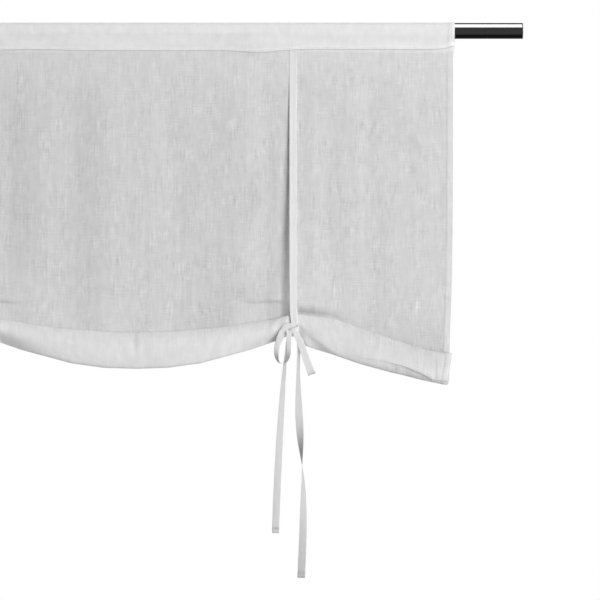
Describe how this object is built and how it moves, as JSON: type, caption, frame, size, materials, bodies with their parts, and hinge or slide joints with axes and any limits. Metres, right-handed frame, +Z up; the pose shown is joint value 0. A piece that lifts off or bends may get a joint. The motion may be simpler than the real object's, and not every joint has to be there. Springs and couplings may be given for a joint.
{
  "type": "rod pocket curtain",
  "caption": "Tie-up linen curtain hung on a chrome rod through a sewn pocket, its bottom rolled up and held by pairs of tie tapes knotted in bows.",
  "frame": {"origin": "on the rod's axis at mid width of the curtain", "axes": "+X along the rod to the viewer's right, -Y to the room (the side with the bows), +Z up"},
  "size_m": [1.22, 0.0431, 0.875],
  "materials": {
    "linen": "plain open weave, white linen",
    "chrome": "polished chrome plate",
    "plug": "grey moulded plastic",
    "tape": "flat woven cotton tape, white"
  },
  "bodies": {
    "root": {"linen_sheet": "linen", "rod_tube": "chrome", "rod_plug_left": "plug", "rod_plug_right": "plug", "front_tape_left": "tape", "front_tape_right": "tape", "back_tape_left": "tape", "back_tape_right": "tape"}
  },
  "joints": []
}
